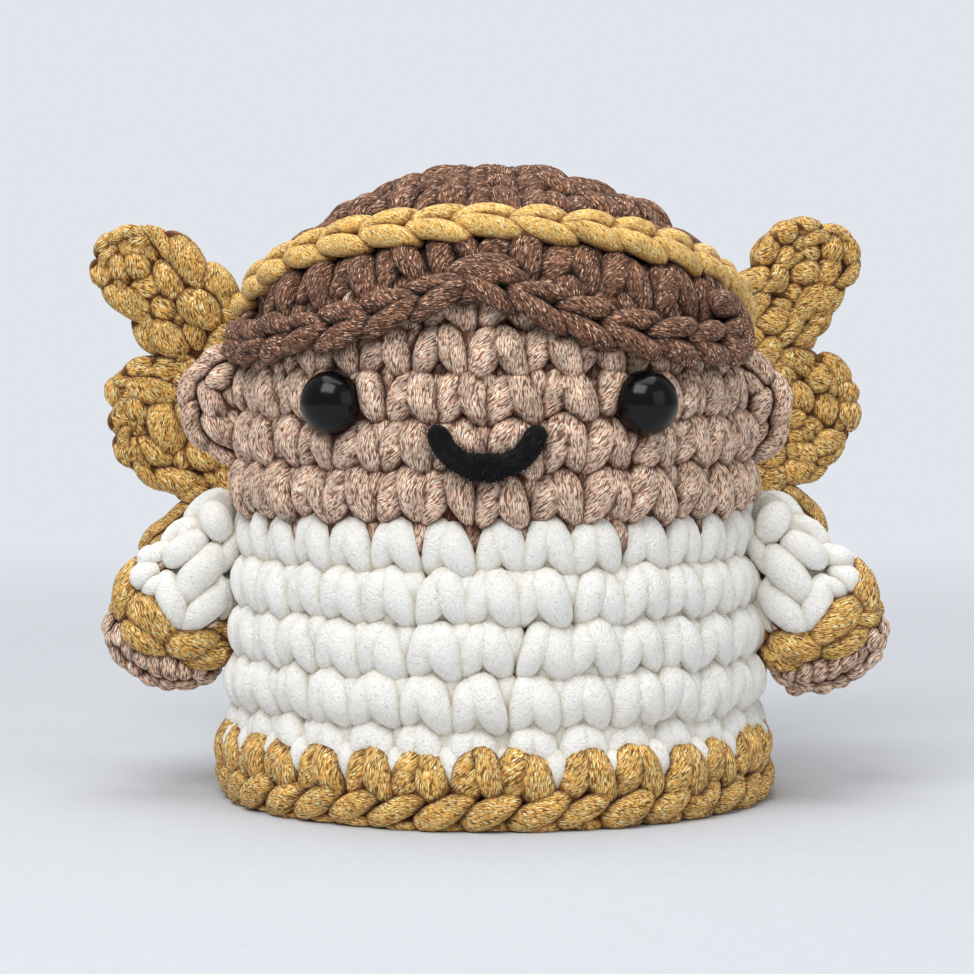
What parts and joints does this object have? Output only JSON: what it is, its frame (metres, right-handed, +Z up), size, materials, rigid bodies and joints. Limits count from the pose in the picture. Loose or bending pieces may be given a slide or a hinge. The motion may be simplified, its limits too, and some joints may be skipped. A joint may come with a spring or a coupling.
{
  "type": "crocheted plush toy",
  "caption": "Stuffed crocheted angel doll with a gown, short hair, a headband, safety eyes, swinging arms and folding wings, standing on a flat base.",
  "frame": {"origin": "centre of the flat base, on the surface that the doll stands on", "axes": "+Z up through the head, -Y the way the face looks, +X the doll's own left"},
  "size_m": [0.1224, 0.1056, 0.0905],
  "materials": {
    "skin_yarn": "glitter yarn",
    "white_yarn": "plush yarn",
    "gold_yarn": "glitter yarn",
    "brown_yarn": "glitter yarn",
    "black_yarn": "matt yarn",
    "stuffing": "fibre filling",
    "eye_plastic": "polished",
    "washer_plastic": "moulded"
  },
  "bodies": {
    "torso": {"base_disc": "gold_yarn", "hem_knit": "gold_yarn", "gown_knit": "white_yarn", "head_knit": "skin_yarn", "stuffing": "stuffing", "hair_cap": "brown_yarn", "headband": "gold_yarn", "smile_strand": "black_yarn", "smile_tack": "black_yarn", "fringe_left": "brown_yarn", "ear_left": "skin_yarn", "eye_left": "eye_plastic", "eye_washer_left": "washer_plastic", "fringe_right": "brown_yarn", "ear_right": "skin_yarn", "eye_right": "eye_plastic", "eye_washer_right": "washer_plastic"},
    "arm_left": {"sleeve_left": "white_yarn", "cuff_left": "gold_yarn", "hand_left": "skin_yarn"},
    "wing_left": {"wing_left_upper": "gold_yarn", "wing_left_lower": "gold_yarn", "wing_left_tail": "gold_yarn"},
    "arm_right": {"sleeve_right": "white_yarn", "cuff_right": "gold_yarn", "hand_right": "skin_yarn"},
    "wing_right": {"wing_right_upper": "gold_yarn", "wing_right_lower": "gold_yarn", "wing_right_tail": "gold_yarn"}
  },
  "joints": [
    {"name": "arm_left_lift", "type": "hinge", "parent": "torso", "child": "arm_left", "pos_m": [0.0382, -0.002, 0.0433], "axis": [0, -1, 0], "range_deg": [0, 55]},
    {"name": "arm_right_lift", "type": "hinge", "parent": "torso", "child": "arm_right", "pos_m": [-0.0382, -0.002, 0.0433], "axis": [0, 1, 0], "range_deg": [0, 55]},
    {"name": "wing_left_fold", "type": "hinge", "parent": "torso", "child": "wing_left", "pos_m": [0.01, 0.03625, 0.046], "axis": [0, 0, 1], "range_deg": [-27, 33]},
    {"name": "wing_right_fold", "type": "hinge", "parent": "torso", "child": "wing_right", "pos_m": [-0.01, 0.03625, 0.046], "axis": [0, 0, -1], "range_deg": [-5, 55]}
  ]
}
